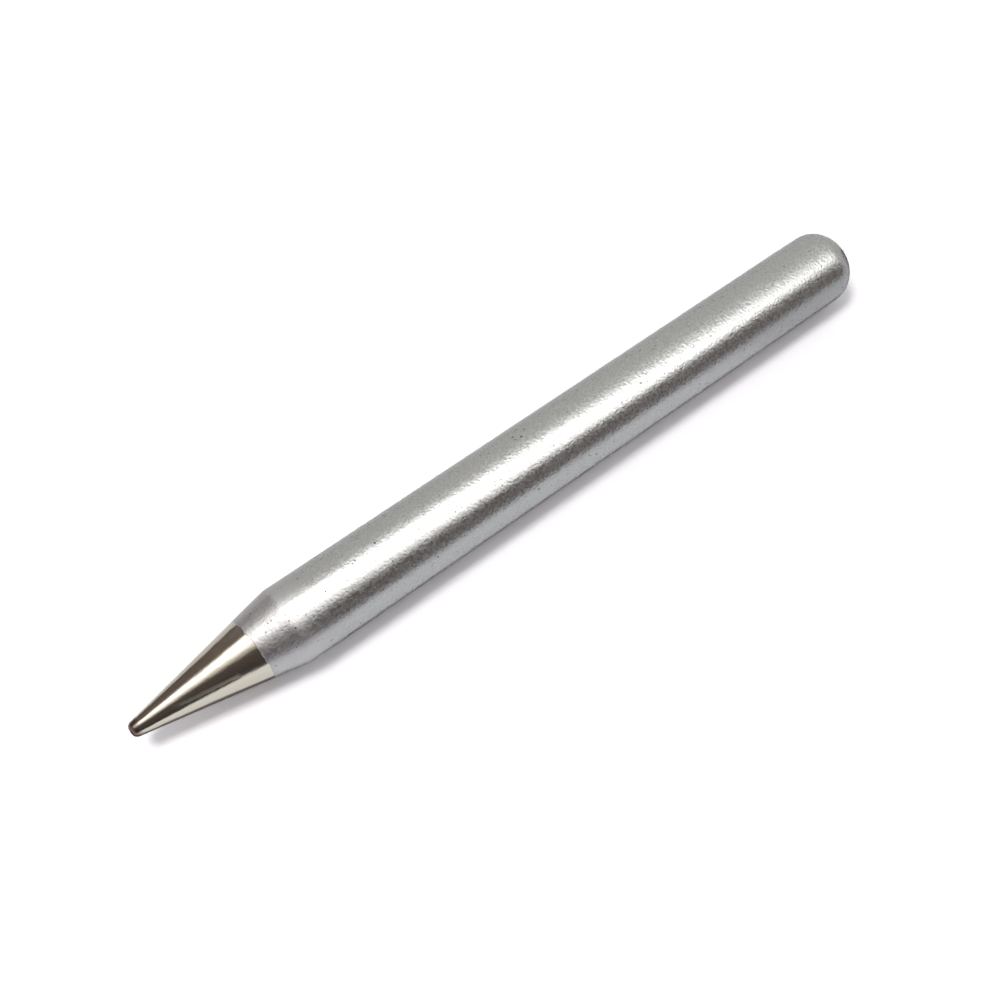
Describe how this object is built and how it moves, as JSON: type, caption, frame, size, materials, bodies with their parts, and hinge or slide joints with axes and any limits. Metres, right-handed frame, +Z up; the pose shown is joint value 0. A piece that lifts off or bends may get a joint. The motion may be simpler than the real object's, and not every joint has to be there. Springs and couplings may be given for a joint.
{
  "type": "soldering iron tip",
  "caption": "Replaceable plug-in soldering iron tip: a straight matt coated shank, rounded at the rear, that runs into a bright tinned cone with a small blunt point.",
  "frame": {"origin": "centre of the flat at the rear end, on the tip's axis", "axes": "+X along the tip's axis, out of the rear end, so that the point looks along -X; +Z up with the tip lying on its side; the tip is the same all round its axis"},
  "size_m": [0.0704, 0.0062, 0.0063],
  "materials": {
    "coated_metal": "matt silver-grey granular coating on the shank and the cone's root, bright polished tinned metal on the rest of the cone"
  },
  "bodies": {
    "root": {"iron_tip": "coated_metal"}
  },
  "joints": []
}
